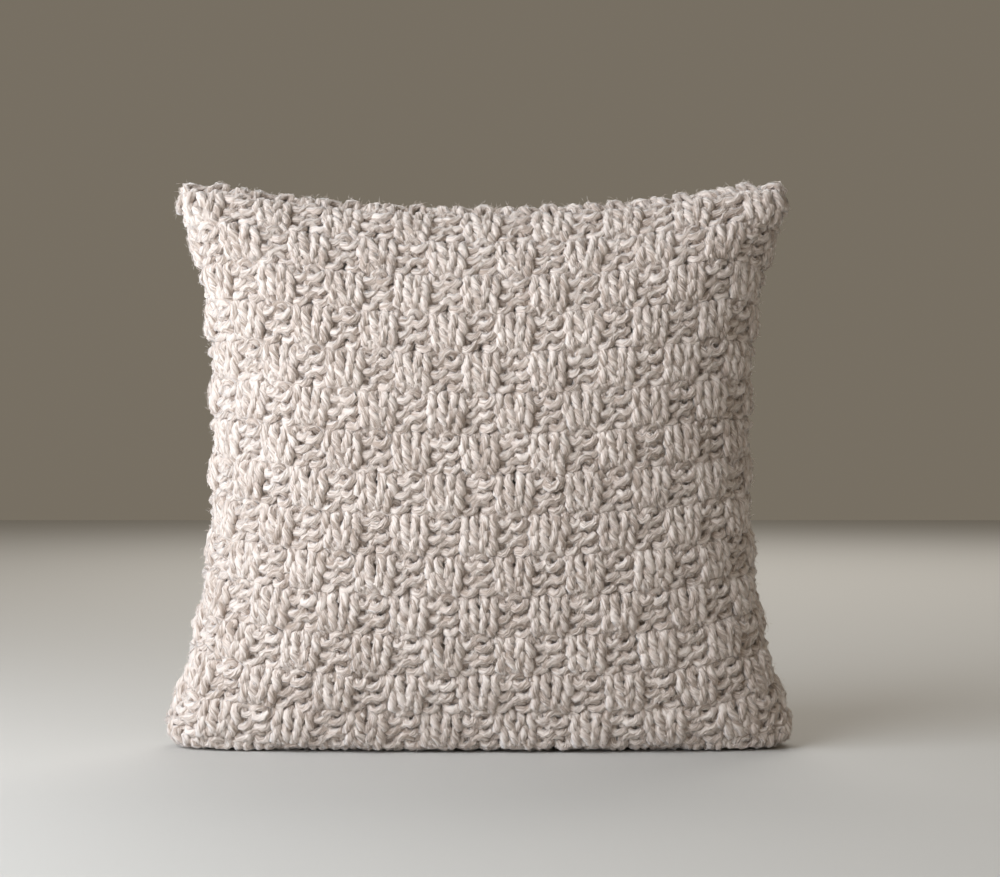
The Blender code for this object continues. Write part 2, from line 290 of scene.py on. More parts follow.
def column_line(s, inset, lift, slim):
    """One line of the back half from the lower seam, along the base and over to the upper seam."""
    depth = DEPTH / 2 - inset - slim
    below = WIDEST_HEIGHT / math.sqrt(1.0 - BASE_SHARE**2)
    lowest = -math.asin((WIDEST_HEIGHT - lift) / below)
    angle = np.linspace(lowest, math.pi / 2, DENSE)
    top = HEIGHT - TOP_PULL_IN * (1.0 - abs(s) ** TOP_PULL_POWER) - inset
    top -= CORNER_DROP * smooth(max(0.0, (abs(s) - DROP_START) / DROP_REACH))
    span = np.where(angle < 0.0, below, top - WIDEST_HEIGHT)
    rise_z = WIDEST_HEIGHT + span * np.sin(angle)
    rise_y = depth * fullness(s, np.cos(angle))
    base_y = np.linspace(0.0, rise_y[0], DENSE // 8)[:-1]
    z = np.concatenate([np.full(len(base_y), lift), rise_z])
    y = np.concatenate([base_y, rise_y])
    x = s * (half_width(z) - inset - SIDE_EASE) - SIDE_LEAN * (1.0 - z / HEIGHT)
    return np.stack([x, y, z], axis=1)


def evenly_spaced_half(inset, lift, slim):
    """The back half as rows of points from the lower seam up, spaced as an even fabric lies."""
    across = np.sin(np.linspace(-math.pi / 2, math.pi / 2, DENSE))
    lines = np.stack([resample(column_line(s, inset, lift, slim), FORM_ROWS + 1) for s in across])
    return np.stack([resample(lines[:, row], FORM_COLUMNS + 1) for row in range(FORM_ROWS + 1)])


def pillow_mesh(back):
    """A closed mesh of the back half and its mirror image, and each half's grid of vertex numbers."""
    rows, columns = back.shape[:2]
    back_index = np.arange(rows * columns).reshape(rows, columns)
    inside = np.zeros((rows, columns), bool)
    inside[1:-1, 1:-1] = True
    front_index = back_index.copy()
    front_index[inside] = rows * columns + np.arange(inside.sum())
    flipped = back[inside] * [1.0, -1.0, 1.0]
    back = back.copy()
    back[~inside, 1] = 0.0
    points = np.concatenate([back.reshape(-1, 3), flipped])

    def quads(index, turned):
        corners = [index[:-1, :-1], index[:-1, 1:], index[1:, 1:], index[1:, :-1]]
        if turned:
            corners.reverse()
        return np.stack(corners, axis=-1).reshape(-1, 4)

    faces = np.concatenate([quads(front_index, False), quads(back_index, True)])
    mesh = bpy.data.meshes.new("stuffed_form")
    mesh.from_pydata(points.tolist(), [], faces.tolist())
    return mesh, front_index, back_index


def read_points(mesh):
    points = np.empty(len(mesh.vertices) * 3, np.float32)
    mesh.vertices.foreach_get("co", points)
    return points.reshape(-1, 3).astype(float)


def swell(mesh, lift, outline, pressure):
    """Fills the form with pressure as cloth, with its base and outline held, and gives its new points."""
    start = read_points(mesh)
    form = bpy.data.objects.new("stuffed_form", mesh)
    bpy.context.scene.collection.objects.link(form)
    held = form.vertex_groups.new(name="held")
    low = np.flatnonzero(start[:, 2] < lift + 1e-5)
    held.add([int(k) for k in np.union1d(low, outline)], 1.0, "REPLACE")
    cloth = form.modifiers.new("filling", "CLOTH")
    cloth.settings.vertex_group_mass = "held"
    cloth.settings.quality = 6
    cloth.settings.mass = 0.15
    cloth.settings.tension_stiffness = 8.0
    cloth.settings.compression_stiffness = 8.0
    cloth.settings.shear_stiffness = 4.0
    cloth.settings.bending_stiffness = 1.0
    cloth.settings.use_pressure = True
    cloth.settings.uniform_pressure_force = pressure
    cloth.settings.effector_weights.gravity = 0.0
    cloth.point_cache.frame_start = 1
    cloth.point_cache.frame_end = SWELL_FRAMES
    scene = bpy.context.scene
    for number in range(1, SWELL_FRAMES + 1):
        scene.frame_set(number)
    evaluated = form.evaluated_get(bpy.context.evaluated_depsgraph_get())
    moved = read_points(evaluated.to_mesh()) - start
    evaluated.to_mesh_clear()
    bpy.data.objects.remove(form)
    scene.frame_set(1)
    far = np.linalg.norm(moved, axis=1, keepdims=True)
    return start + moved * np.minimum(1.0, SWELL_CAP / np.maximum(far, 1e-9))


class Skin:
    """A panel's surface, read at any u, from -X to +X, and v, from the lower seam to the upper one."""

    def __init__(self, near, far, outward):
        """near is this panel's grid of points, and far is the other's, which goes on past each seam."""
        rows, columns = near.shape[:2]
        wide = np.empty((rows + 2, columns + 2, 3))
        wide[1:-1, 1:-1] = near
        wide[1:-1, 0] = far[:, 1]
        wide[1:-1, -1] = far[:, -2]
        wide[0, 1:-1] = far[1]
        wide[-1, 1:-1] = far[-2]
        for row, column in ((0, 0), (0, -1), (-1, 0), (-1, -1)):
            inner = (1 if row == 0 else -2, 1 if column == 0 else -2)
            wide[row, column] = wide[row, inner[1]] + wide[inner[0], column] - wide[inner]
        self.points = wide
        du = np.empty_like(wide)
        dv = np.empty_like(wide)
        du[:, 1:-1] = wide[:, 2:] - wide[:, :-2]
        du[:, 0] = du[:, 1]
        du[:, -1] = du[:, -2]
        dv[1:-1] = wide[2:] - wide[:-2]
        dv[0] = dv[1]
        dv[-1] = dv[-2]
        self.normals = unit(np.cross(du, dv)) * outward

    def read(self, grid, u, v):
        """Catmull-Rom values of a grid at u and v."""
        rows, columns = grid.shape[0] - 3, grid.shape[1] - 3
        x = np.clip(u, 0.0, 1.0) * columns
        y = np.clip(v, 0.0, 1.0) * rows
        i = np.minimum(x.astype(int), columns - 1)
        j = np.minimum(y.astype(int), rows - 1)
        wx = self.weights(x - i)
        wy = self.weights(y - j)
        total = 0.0
        for a in range(4):
            for b in range(4):
                total = total + grid[j + b, i + a] * (wx[a] * wy[b])[..., None]
        return total

    @staticmethod
    def weights(t):
        return (
            0.5 * (-t + 2 * t**2 - t**3),
            0.5 * (2 - 5 * t**2 + 3 * t**3),
            0.5 * (t + 4 * t**2 - 3 * t**3),
            0.5 * (-(t**2) + t**3),
        )

    def point(self, u, v):
        return self.read(self.points, u, v)

    def normal(self, u, v):
        return unit(self.read(self.normals, u, v))


FORM = {}
KNIT = {}


def make_form(settings):
    """The front and back surfaces through the middle of the knit."""
    slim = SWELL_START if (settings.pressure > 0) else 0.0
    back = evenly_spaced_half(settings.knit_inset, settings.base_lift, slim)
    mesh, front_index, back_index = pillow_mesh(back)
    if settings.pressure == 0:
        points = read_points(mesh)
    else:
        outline = np.concatenate([back_index[:, 0], back_index[:, -1], back_index[-1]])
        points = swell(mesh, settings.base_lift, outline, settings.pressure)
    bpy.data.meshes.remove(mesh)
    front, back = points[front_index], points[back_index]
    deepest = np.abs(points[:, 1]).max()
    room = DEPTH / 2 - settings.knit_inset + DEPTH_ROOM
    front[..., 1] *= min(1.0, room / deepest)
    back[..., 1] *= min(1.0, room / deepest)
    FORM["front"] = Skin(front, back, 1.0)
    FORM["back"] = Skin(back, front, -1.0)


# ---------------------------------------------------------------- the knit

def stitch_types(stitches, rows):
    """1 for knit and -1 for purl, in blocks, with one more row and column on each side."""
    column = (np.arange(-1, stitches + 1) + 1) // BLOCK_STITCHES
    row = (np.arange(-1, rows + 1) + FIRST_BLOCK_ROW) // BLOCK_ROWS
    return np.where((column[None, :] + row[:, None]) % 2 == 0, 1.0, -1.0)


def soften(field):
    """A field averaged a little with its neighbours both ways."""
    for axis in (0, 1):
        wide = np.pad(field, [(1, 1) if k == axis else (0, 0) for k in (0, 1)], mode="edge")
        low = np.take(wide, range(0, field.shape[axis]), axis)
        high = np.take(wide, range(2, field.shape[axis] + 2), axis)
        field = 0.5 * field + 0.25 * (low + high)
    return field


def depth_weights(half, low_hold, high_hold):
    """How much each turning point of a loop counts at half, from 0 at its foot to 1 at its head."""
    low = smooth(np.clip((half - low_hold) / LEG_START, 0.0, 1.0))
    leg = 1.0 - 2 * LEG_START - low_hold - high_hold
    mid = smooth(np.clip((half - LEG_START - low_hold) / leg, 0.0, 1.0))
    high = smooth(np.clip((half - 1.0 + LEG_START + high_hold) / LEG_START, 0.0, 1.0))
    return 1.0 - low, low - mid, mid - high, high


def between_stitches(values, turn):
    """A value for each stitch, read between the stitches' middles at turn, counted in stitches."""
    return np.interp(turn, np.arange(len(values)) + 0.5, values)


def row_line(row, types, lift, knit, rng):
    """One row's yarn: its places across and up, in stitches and rows, its depth, and its thickness."""
    stitches = knit.stitches
    turn = np.linspace(ROW_END, stitches - ROW_END, stitches * STEPS_PER_STITCH)
    stitch = np.minimum(turn.astype(int), stitches - 1)
    phase = (turn - stitch) * 2.0
    half = np.where(phase <= 1.0, phase, 2.0 - phase)

    here = types[row + 1, 1:-1]
    above = types[row + 2, 1:-1]
    beside = 0.5 * (types[row + 1, :-1] + types[row + 1, 1:])
    foot_type = np.where(phase <= 1.0, beside[stitch], beside[stitch + 1])
    low_hold = BUMP_HOLD * 0.5 * (1.0 - foot_type)
    high_hold = BUMP_HOLD * 0.5 * (1.0 - above[stitch])
    foot, low, high, head = depth_weights(half, low_hold, high_hold)
    depth = knit.loop_depth * (
        -foot_type * foot + here[stitch] * low + above[stitch] * high - above[stitch] * head
    )
    front = 0.5 * (1.0 + here[stitch])
    depth = depth + front * LEG_ARCH * (1.0 - ((half - 0.5) / 0.5) ** 2)
    level = between_stitches(lift[row + 1, 1:-1], turn)
    next_level = between_stitches(lift[row + 2, 1:-1], turn)
    depth = depth + level + (next_level - level) * half / 2

    uneven = knit.unevenness
    wander = rng.normal(0.0, 0.045 * uneven, stitches)
    reach = 1.0 + rng.normal(0.0, 0.05 * uneven, stitches)
    bulge = 1.0 + rng.normal(0.0, 0.10 * uneven, stitches)
    bob = rng.normal(0.0, 0.00035 * uneven, stitches)
    thick = 1.0 + rng.normal(0.0, 0.05 * uneven, stitches)
    lean = LEAN + rng.normal(0.0, 0.05 * uneven, stitches)

    angle = 2.0 * math.pi * turn
    headness = ((1.0 - np.cos(angle)) / 2.0) ** 2
    across = turn + knit.loop_width * between_stitches(bulge, turn) * np.sin(2.0 * angle)
    across = across + between_stitches(wander, turn) + between_stitches(lean, turn) * headness
    weave_row = row + 0.5 - knit.loop_reach * np.cos(angle) + FIRST_BLOCK_ROW
    parity = np.cos(math.pi * weave_row / BLOCK_ROWS)
    across = across + BLOCK_SPREAD * parity * np.sin(math.pi * turn / BLOCK_STITCHES)
    up = row + 0.5 - knit.loop_reach * between_stitches(reach, turn) * np.cos(angle)
    up = up + TILT * np.sin(2.0 * angle)
    depth = depth + between_stitches(bob, turn)

    last_knit = (here > 0) & (above < 0)
    first_in_block = (here > 0) & (types[row + 1, :-2] < 0)
    slack = (last_knit & first_in_block)[stitch].astype(float)
    left_leg = np.clip(1.0 - np.abs(phase - 0.75) / 0.75, 0.0, 1.0)
    across = across + slack * (SLACK_LEAN * headness - SLACK_LEG * smooth(left_leg))
    up = up + slack * SLACK_RISE * headness
    depth = depth + slack * SLACK_STAND * smooth(left_leg)
    puff = 1.0 + LEG_PUFF * front * np.sin(math.pi * half) ** 2
    return across, up, depth, between_stitches(thick, turn) * puff


def mesh_of(name, points, corners, sizes, maps):
    """A mesh from its points, its faces' corners in one list, each face's size and its UV maps."""
    mesh = bpy.data.meshes.new(name)
    mesh.vertices.add(len(points))
    mesh.vertices.foreach_set("co", points.reshape(-1).astype(np.float32))
    mesh.loops.add(len(corners))
    mesh.loops.foreach_set("vertex_index", corners.astype(np.int32))
    mesh.polygons.add(len(sizes))
    starts = np.concatenate([[0], np.cumsum(sizes)[:-1]])
    mesh.polygons.foreach_set("loop_start", starts.astype(np.int32))
    mesh.update(calc_edges=True)
    for map_name, places in maps.items():
        layer = mesh.uv_layers.new(name=map_name, do_init=False)
        layer.data.foreach_set("uv", places.reshape(-1).astype(np.float32))
    mesh.shade_smooth()
    mesh.validate()
    return mesh


def tube_mesh(name, lines, normals, radii, sides, squash=1.0, twist=0.0, ply_depth=0.0):
    """Closed tubes round lines of points (line, step, 3).

    The map "Yarn" holds each tube's length and turn, and "OFBake" keeps the tubes apart.
    """
    count, steps = lines.shape[:2]
    along = unit(np.gradient(lines, axis=1))
    beside = unit(np.cross(along, normals))
    over = np.cross(beside, along)
    gaps = np.linalg.norm(np.diff(lines, axis=1), axis=2)
    length = np.concatenate([np.zeros((count, 1)), np.cumsum(gaps, axis=1)], axis=1)
    around = np.arange(sides) * 2.0 * math.pi / sides
    turns = around + length[..., None] * 2.0 * math.pi * twist
    ring = (
        np.cos(turns)[..., None] * beside[:, :, None, :]
        + squash * np.sin(turns)[..., None] * over[:, :, None, :]
    )
    thickness = radii[..., None] * (1.0 + ply_depth * np.cos(PLIES * around))
    points = lines[:, :, None, :] + thickness[..., None] * ring
    number = np.arange(count * steps * sides).reshape(count, steps, sides)
    turned = np.roll(number, -1, axis=2)
    quads = np.stack([number[:, :-1], number[:, 1:], turned[:, 1:], turned[:, :-1]], axis=-1)
    corners = np.concatenate([quads.reshape(-1), number[:, 0].reshape(-1), number[:, -1, ::-1].reshape(-1)])
    sizes = np.concatenate([np.full(quads.size // 4, 4), np.full(2 * count, sides)])

    shape = (count, steps - 1, sides)
    low = np.broadcast_to(np.arange(sides) / sides, shape)
    high = low + 1.0 / sides
    near = np.broadcast_to(length[:, :-1, None], shape)
    far = np.broadcast_to(length[:, 1:, None], shape)
    strip = np.arange(count)[:, None, None]
    caps = np.zeros((2 * count * sides, 2))

    def mapped(start, end, below, above):
        places = np.stack([start, below, end, below, end, above, start, above], axis=-1)
        return np.concatenate([places.reshape(-1, 2), caps])

    apart = strip * STRIP_SHIFT
    longest = length.max() * LENGTH_ROOM
    strip_low = (strip + STRIP_GAP + STRIP_FILL * low) / count
    strip_high = (strip + STRIP_GAP + STRIP_FILL * high) / count
    maps = {
        "Yarn": mapped(near + apart, far + apart, low, high),
        "OFBake": mapped(near / longest, far / longest, strip_low, strip_high),
    }
    return mesh_of(name, points.reshape(-1, 3), corners, sizes, maps)


def panel_lines(skin, knit, toward, rng):
    """Every row's yarn on a panel. The panel hangs from its first row, so its loops point down."""
    types = stitch_types(knit.stitches, knit.rows)
    lift = soften(types) * knit.block_lift
    lines, normals, radii = [], [], []
    for row in range(knit.rows):
        across, up, depth, thick = row_line(row, types, lift, knit, rng)
        u = (across + SIDE_MARGIN) / (knit.stitches + 2 * SIDE_MARGIN)
        u = 1.0 - u if toward < 0 else u
        from_middle = np.abs((u - 0.5) * WIDTH - ZIP_END_SHIFT)
        beyond_zip = smooth(np.clip((from_middle - ZIP_END) / ZIP_END_REACH, 0.0, 1.0))
        low_margin = ZIP_MARGIN + (CLOSED_MARGIN - ZIP_MARGIN) * beyond_zip
        v = 1.0 - (up + TOP_MARGIN) / (knit.rows + TOP_MARGIN + low_margin)
        place = skin.point(u, v)
        normal = skin.normal(u, v)
        underneath = smooth(np.clip(-normal[:, 2], 0.0, 1.0)) * (place[:, 2] < BASE_HEIGHT)
        depth = depth * (1.0 - BASE_FLATTENING * underneath)
        lines.append(place + normal * depth[:, None])
        normals.append(normal)
        radii.append(knit.yarn_radius * thick)
    return np.stack(lines), np.stack(normals), np.stack(radii)


def show(name, mesh, body, slot, *replaced):
    """Puts a finished mesh on a body as the piece that stands for these nodes of the design."""
    piece = bpy.data.objects.new(name, mesh)
    bpy.context.scene.collection.objects.link(piece)
    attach(piece, body)
    if replaced:
        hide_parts(*replaced)
    return piece


def knit_panel(side, toward, seed):
    knit = bpy.context.scene.cushion_knit
    rng = np.random.default_rng(seed)
    lines, normals, radii = panel_lines(FORM[side], knit, toward, rng)
    name = "knitted_" + side
    mesh = tube_mesh(name, lines, normals, radii, YARN_SIDES, YARN_SQUASH, PLY_TWIST, PLY_DEPTH)
    mesh.materials.append(yarn_material())
    piece = show(name, mesh, "cushion", "knit_wool", "cover_" + side + "_panel")
    KNIT[side] = (lines, normals, radii)


# ---------------------------------------------------------------- seams and fuzz

def seam_path(points, outward, pitch, width, rise):
    """Zigzag stitches along a seam: where they go and which way is out."""
    steps = np.linalg.norm(np.diff(points, axis=0), axis=1)
    along = np.concatenate([[0.0], np.cumsum(steps)])
    count = int(along[-1] / pitch) * 12
    at = np.linspace(0.0, along[-1], count)
    line = np.stack([np.interp(at, along, points[:, k]) for k in range(3)], axis=1)
    out = unit(np.stack([np.interp(at, along, outward[:, k]) for k in range(3)], axis=1))
    swing = np.sin(at * math.pi / pitch)
    line[:, 1] += width * swing
    line += out * (rise * (1.0 - 1.6 * swing**4))[:, None]
    return line, out


def make_seams():
    """The wool stitches that close the sides and the top."""
    skin = FORM["front"]
    v = np.linspace(*SIDE_SEAM, 300)
    u = np.linspace(*TOP_SEAM, 300)
    paths = (
        ("left_seam_yarn", skin.point(0.0 * v, v), skin.normal(0.0 * v, v)),
        ("right_seam_yarn", skin.point(1.0 + 0.0 * v, v), skin.normal(1.0 + 0.0 * v, v)),
        ("top_seam_yarn", skin.point(u, 1.0 + 0.0 * u), skin.normal(u, 1.0 + 0.0 * u)),
    )
    for node, points, outward in paths:
        outward = unit(outward * [1.0, 0.0, 1.0])
        line, out = seam_path(points, outward, SEAM_PITCH, SEAM_WIDTH, SEAM_RISE)
        radii = np.full((1, len(line)), SEAM_YARN_RADIUS)
        name = node + "_stitches"
        mesh = tube_mesh(name, line[None], out[None], radii, YARN_SIDES, 1.0, SEAM_TWIST, PLY_DEPTH)
        mesh.materials.append(yarn_material())
        show(name, mesh, "cushion", "seam_wool", node)


def spindles(name, roots, bows, tips, radius):
    """A piece of thin bent spindles, each three-sided in its middle, that rides with the knit."""
    heading = unit(tips - roots)
    one = unit(np.cross(heading, unit(bows - roots) + [0.013, 0.029, 0.017]))
    two = np.cross(heading, one)
    ring = np.stack([math.cos(a) * one + math.sin(a) * two for a in (0.0, 2.0944, 4.1888)], axis=1)
    clear = np.minimum.reduce([roots[:, 2], bows[:, 2], tips[:, 2]]) > FLOOR_CLEARANCE
    points = np.concatenate([roots[:, None], bows[:, None] + ring * radius, tips[:, None]], axis=1)[clear]
    pattern = []
    for k in range(3):
        n = (k + 1) % 3
        pattern += [(0, 1 + n, 1 + k), (1 + k, 1 + n, 4)]
    faces = np.array(pattern)[None] + (np.arange(len(points)) * 5)[:, None, None]
    mesh = mesh_of(name, points.reshape(-1, 3), faces.reshape(-1), np.full(faces.size // 3, 3), {})
    mesh.materials.append(fuzz_material())
    show(name, mesh, "cushion", "knit_wool")


def lay_fibres(side, settings, seed):
    """Fibres that lie on the yarn and follow its twist."""
    rng = np.random.default_rng(seed)
    lines, normals, radii = KNIT[side]
    count = settings.lying_fibres
    row = rng.integers(0, lines.shape[0], count)
    step = rng.integers(1, lines.shape[1] - 3, count)
    turn = rng.normal(0.0, FIBRE_SPREAD, count) + math.pi / 2
    advance = rng.uniform(0.25, 0.75, count)
    stations = []
    for k in range(3):
        middle = lines[row, step + k]
        along = unit(lines[row, step + k + 1] - lines[row, step + k - 1])
        beside = unit(np.cross(along, normals[row, step + k]))
        over = np.cross(beside, along)
        angle = (turn + (k - 1) * advance)[:, None]
        away = np.cos(angle) * beside + np.sin(angle) * over
        stations.append(middle + away * (radii[row, step + k] * LYING_LIFT[k])[:, None])
    spindles("lying_fibres_" + side, *stations, LYING_RADIUS)


def make_fuzz(side, settings, seed):
    """Loose fibres that stand off the yarn."""
    rng = np.random.default_rng(seed)
    lines, normals, radii = KNIT[side]
    count = settings.long_fibres
    row = rng.integers(0, lines.shape[0], count)
    step = rng.integers(1, lines.shape[1] - 1, count)
    middle = lines[row, step]
    along = unit(lines[row, step + 1] - lines[row, step - 1])
    out = normals[row, step]
    beside = unit(np.cross(along, out))
    turn = rng.normal(0.0, FIBRE_SPREAD, count)[:, None]
    away = np.cos(turn) * out + np.sin(turn) * beside
    root = middle + away * radii[row, step][:, None] * ROOT_DEPTH
    wild = unit(rng.normal(0.0, 1.0, (count, 3)))
    sense = rng.choice([-1.0, 1.0], count)[:, None]
    heading = unit(along * sense + away * rng.uniform(0.15, 0.9, (count, 1)) + 0.55 * wild)
    bend = unit(rng.normal(0.0, 1.0, (count, 3)))
    length = settings.fibre_length * rng.uniform(0.35, 1.5, (count, 1))
    bow = root + heading * length * 0.5 + bend * length * 0.16
    spindles("wool_fuzz_" + side, root, bow, root + heading * length, settings.fibre_radius)


# ---------------------------------------------------------------- the pad

PAD_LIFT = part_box("pad_casing_front")[0].z
PAD_COLUMNS, PAD_ROWS = 60, 66


def inner_skin(side, inset, lift, slot, lumps, rng):
    """A panel's surface moved in by inset, above lift and clear of the other half, with soft lumps."""
    skin = FORM[side]
    u, v = np.meshgrid(np.linspace(0.0, 1.0, PAD_COLUMNS + 1), np.linspace(0.0, 1.0, PAD_ROWS + 1))
    points = skin.point(u.ravel(), v.ravel())
    normal = skin.normal(u.ravel(), v.ravel())
    waves = rng.uniform(20.0, 55.0, (5, 2)) * rng.choice([-1.0, 1.0], (5, 2))
    starts = rng.uniform(0.0, 2.0 * math.pi, 5)
    swells = sum(np.sin(points[:, [0, 2]] @ wave + start) for wave, start in zip(waves, starts)) / 5.0
    points = points - normal * (inset - lumps * swells)[:, None]
    points[:, 2] = np.maximum(points[:, 2], lift)
    sign = -1.0 if side == "front" else 1.0
    points[:, 1] = sign * np.maximum(sign * points[:, 1], slot)
    return points.reshape(PAD_ROWS + 1, PAD_COLUMNS + 1, 3)


def grid_quads(rows, columns, first, turned):
    index = first + np.arange(rows * columns).reshape(rows, columns)
    corners = [index[:-1, :-1], index[:-1, 1:], index[1:, 1:], index[1:, :-1]]
    if turned:
        corners.reverse()
    return np.stack(corners, axis=-1).reshape(-1, 4), index


def rim(index):
    return np.concatenate([index[0, :-1], index[:-1, -1], index[-1, :0:-1], index[:0:-1, 0]])


def make_casing(side, seed):
    """One half of the pad's cotton casing, a thin closed sheet under the knit."""
    rows, columns = PAD_ROWS + 1, PAD_COLUMNS + 1
    outer = inner_skin(
        side, CASING_OUTSIDE, PAD_LIFT, CASING_APART, CASING_LUMPS, np.random.default_rng(seed)
    )
    inner = inner_skin(
        side, CASING_INSIDE, PAD_LIFT + CASING_THICKNESS, CASING_APART, CASING_LUMPS,
        np.random.default_rng(seed),
    )
    turned = side == "back"
    outside, outer_index = grid_quads(rows, columns, 0, turned)
    inside, inner_index = grid_quads(rows, columns, rows * columns, not turned)
    outer_rim, inner_rim = rim(outer_index), rim(inner_index)
    walls = np.stack([outer_rim, inner_rim, np.roll(inner_rim, -1), np.roll(outer_rim, -1)], axis=-1)
    if turned:
        walls = walls[:, ::-1]
    faces = np.concatenate([outside, inside, walls])
    points = np.concatenate([outer.reshape(-1, 3), inner.reshape(-1, 3)])
    name = "pad_cotton_" + side
    mesh = mesh_of(name, points, faces.reshape(-1), np.full(len(faces), 4), {})
    mesh.materials.append(cotton_material())
    piece = show(name, mesh, "cushion", "pad_cotton", "pad_casing_" + side)


def make_pad_thread():
    """The thread that closes the casing, round its sides and top."""
    skin = FORM["front"]
    v = np.linspace(0.06, 1.0, 200)
    u = np.linspace(0.0, 1.0, 240)
    legs = ((0.0 * v, v), (u, 1.0 + 0.0 * u), (1.0 + 0.0 * v, v[::-1]))
    sides = [(skin.point(*leg), unit(skin.normal(*leg) * [1.0, 0.0, 1.0])) for leg in legs]
    line = np.concatenate([points - out * EDGE_INSET for points, out in sides])
    out = np.concatenate([out for _, out in sides])
    line = resample(line, EDGE_STEPS)
    out = unit(resample(out, EDGE_STEPS))
    line[:, 1] = EDGE_SWING * np.sin(np.linspace(0.0, 300.0 * math.pi, EDGE_STEPS))
    radii = np.full((1, EDGE_STEPS), EDGE_RADIUS)
    mesh = tube_mesh("pad_edge_stitches", line[None], out[None], radii, 6)
    mesh.materials.append(thread_material())
    show("pad_edge_stitches", mesh, "cushion", "sewing_thread", "pad_edge_thread")


def make_filling():
    """The fibre filling, one closed lumpy body."""
    grids = [
        inner_skin(
            side, FILLING_INSET, PAD_LIFT + FILLING_LIFT, 0.0, FILLING_LUMPS, np.random.default_rng(31 + k)
        )
        for k, side in enumerate(("front", "back"))
    ]
    rows, columns = grids[0].shape[:2]
    front, _ = grid_quads(rows, columns, 0, False)
    back, _ = grid_quads(rows, columns, rows * columns, True)
    faces = np.concatenate([front, back])
    points = np.concatenate([grid.reshape(-1, 3) for grid in grids])
    mesh = mesh_of("pad_wadding", points, faces.reshape(-1), np.full(len(faces), 4), {})
    piece = show("pad_wadding", mesh, "cushion", "fibre_fill", "pad_filling")
    bpy.context.view_layer.objects.active = piece
    weld = piece.modifiers.new("weld", "WELD")
    weld.merge_threshold = WELD_DISTANCE
    bpy.ops.object.select_all(action="DESELECT")
    piece.select_set(True)
    bpy.ops.object.modifier_apply(modifier="weld")
    mesh.materials.append(wadding_material())


# ---------------------------------------------------------------- the zip

def zip_middle():
    low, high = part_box("zip_tape_front")
    return (low.z + high.z) / 2


def make_coil(side, sign):
    """A row of nylon teeth, one coil sewn along its tape's edge."""
    low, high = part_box("zip_teeth_" + side)
    pitch, wire, high_reach, nudge = 0.0016, 0.00034, 0.00095, 0.00015
    turns = int((high.x - low.x) / pitch)
    steps = turns * 8
    turn = np.linspace(0.0, turns * 2.0 * math.pi, steps)
    x = np.linspace(low.x + wire, high.x - wire, steps) + 0.25 * pitch * sign
    centre = 0.5 * (abs(low.y) + abs(high.y)) - nudge
    reach = 0.5 * abs(high.y - low.y) - wire + nudge
    y = sign * (centre + reach * np.cos(turn))
    z = zip_middle() + high_reach * np.sin(turn)
    line = np.stack([x, y, z], axis=1)
    out = unit(np.stack([0.0 * x, y - sign * centre, z - zip_middle()], axis=1))
    mesh = tube_mesh("zip_coil_" + side, line[None], out[None], np.full((1, steps), wire), 6)
    mesh.materials.append(nylon_material())
    show("zip_coil_" + side, mesh, "cushion", "zip_nylon", "zip_teeth_" + side)


def make_zip_stitches(side):
    """Sewing stitches along a tape."""
    low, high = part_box("zip_thread_" + side)
    pitch, radius = 0.0036, (high.z - low.z) / 2
    count = int((high.x - low.x) / pitch)
    share = np.linspace(-1.0, 1.0, 7)
    starts = low.x + pitch * (np.arange(count) + 0.5)
    x = starts[:, None] + share * 0.43 * pitch
    y = np.full_like(x, (low.y + high.y) / 2)
    z = np.broadcast_to((low.z + high.z) / 2 + radius * (0.4 - 1.6 * share**6), x.shape)
    lines = np.stack([x, y, z], axis=-1)
    normals = np.zeros_like(lines)
    normals[..., 2] = 1.0
    mesh = tube_mesh("zip_stitches_" + side, lines, normals, np.full(x.shape, radius), 6)
    mesh.materials.append(thread_material())
    show("zip_stitches_" + side, mesh, "cushion", "sewing_thread", "zip_thread_" + side)


def finish_node(node, make_material):
    """Gives a piece of the design its finished material."""
    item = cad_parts[node]
    material = make_material()
    for slot in item.material_slots:
        slot.material = material


def make_zip():
    for side, sign in (("front", -1.0), ("back", 1.0)):
        make_coil(side, sign)
        make_zip_stitches(side)
        finish_node("zip_tape_" + side, tape_material)
        finish_node("zip_top_stop_" + side, metal_material)
    finish_node("zip_bottom_stop", metal_material)
    finish_node("zip_slider", metal_material)
    finish_node("zip_pull_tab", metal_material)


# ---------------------------------------------------------------- materials

